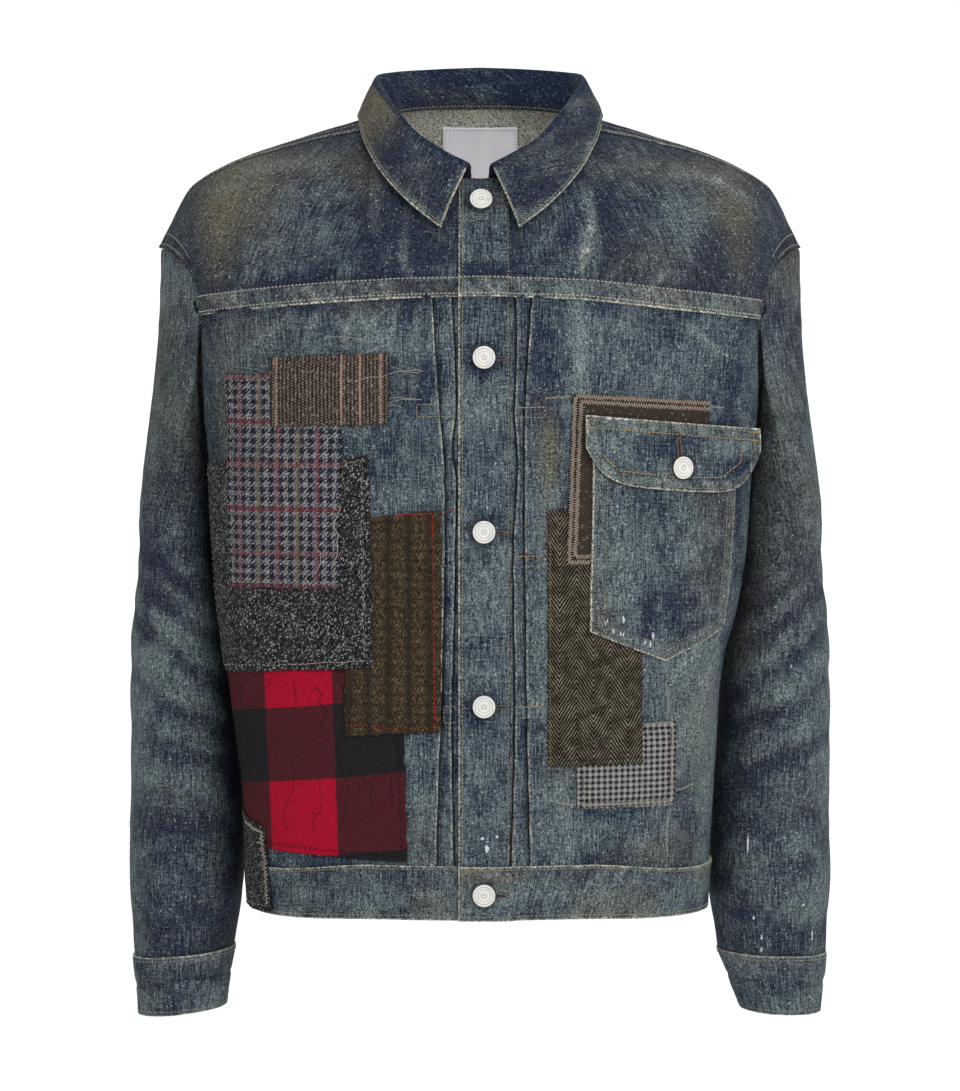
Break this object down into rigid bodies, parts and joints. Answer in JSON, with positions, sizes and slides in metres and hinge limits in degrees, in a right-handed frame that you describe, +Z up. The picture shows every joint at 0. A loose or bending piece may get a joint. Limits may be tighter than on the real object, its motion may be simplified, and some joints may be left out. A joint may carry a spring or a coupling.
{
  "type": "patched denim jacket",
  "caption": "Worn-in buttoned denim jacket with a turned-down collar, pleated front, chest pocket and sewn-on wool patches, hollow and filled out.",
  "frame": {"origin": "on the centre line, level with the shoulder-neck points, where a wearer's shoulders carry it", "axes": "+Z up, front faces -Y, wearer's left is +X"},
  "size_m": [0.5691, 0.2844, 0.7703],
  "materials": {
    "denim": "washed and dirtied indigo right-hand twill, matt",
    "denim_dark": "washed indigo twill, darker and less worn",
    "striped_tweed": "brown wool tweed with pale pink stripes",
    "houndstooth": "wool houndstooth in grey and navy with red and olive overchecks",
    "grey_tweed": "salt and pepper wool tweed",
    "olive_tweed": "olive brown wool tweed with a faint overcheck",
    "red_check": "red and black wool check in two-and-two twill",
    "brown_wool": "brown wool twill",
    "herringbone": "grey and brown wool herringbone",
    "small_check": "black and white small wool check",
    "button": "worn white metal with plain rings",
    "label": "bare woven satin"
  },
  "bodies": {
    "root": {"front_right": "denim", "front_left": "denim", "back": "denim", "yoke_front_right": "denim_dark", "yoke_front_left": "denim_dark", "back_yoke": "denim_dark", "sleeve_right": "denim", "sleeve_left": "denim", "cuff_right": "denim", "cuff_left": "denim", "waistband": "denim", "collar": "denim_dark", "pocket": "denim", "pocket_flap": "denim", "patch_striped_tweed": "striped_tweed", "patch_houndstooth": "houndstooth", "patch_grey_tweed": "grey_tweed", "patch_olive_tweed": "olive_tweed", "patch_buffalo_check": "red_check", "patch_grey_corner": "grey_tweed", "patch_brown_wool": "brown_wool", "patch_herringbone": "herringbone", "patch_small_check": "small_check", "button_1": "button", "button_2": "button", "button_3": "button", "button_4": "button", "button_5": "button", "button_flap": "button", "neck_label": "label"}
  },
  "joints": []
}
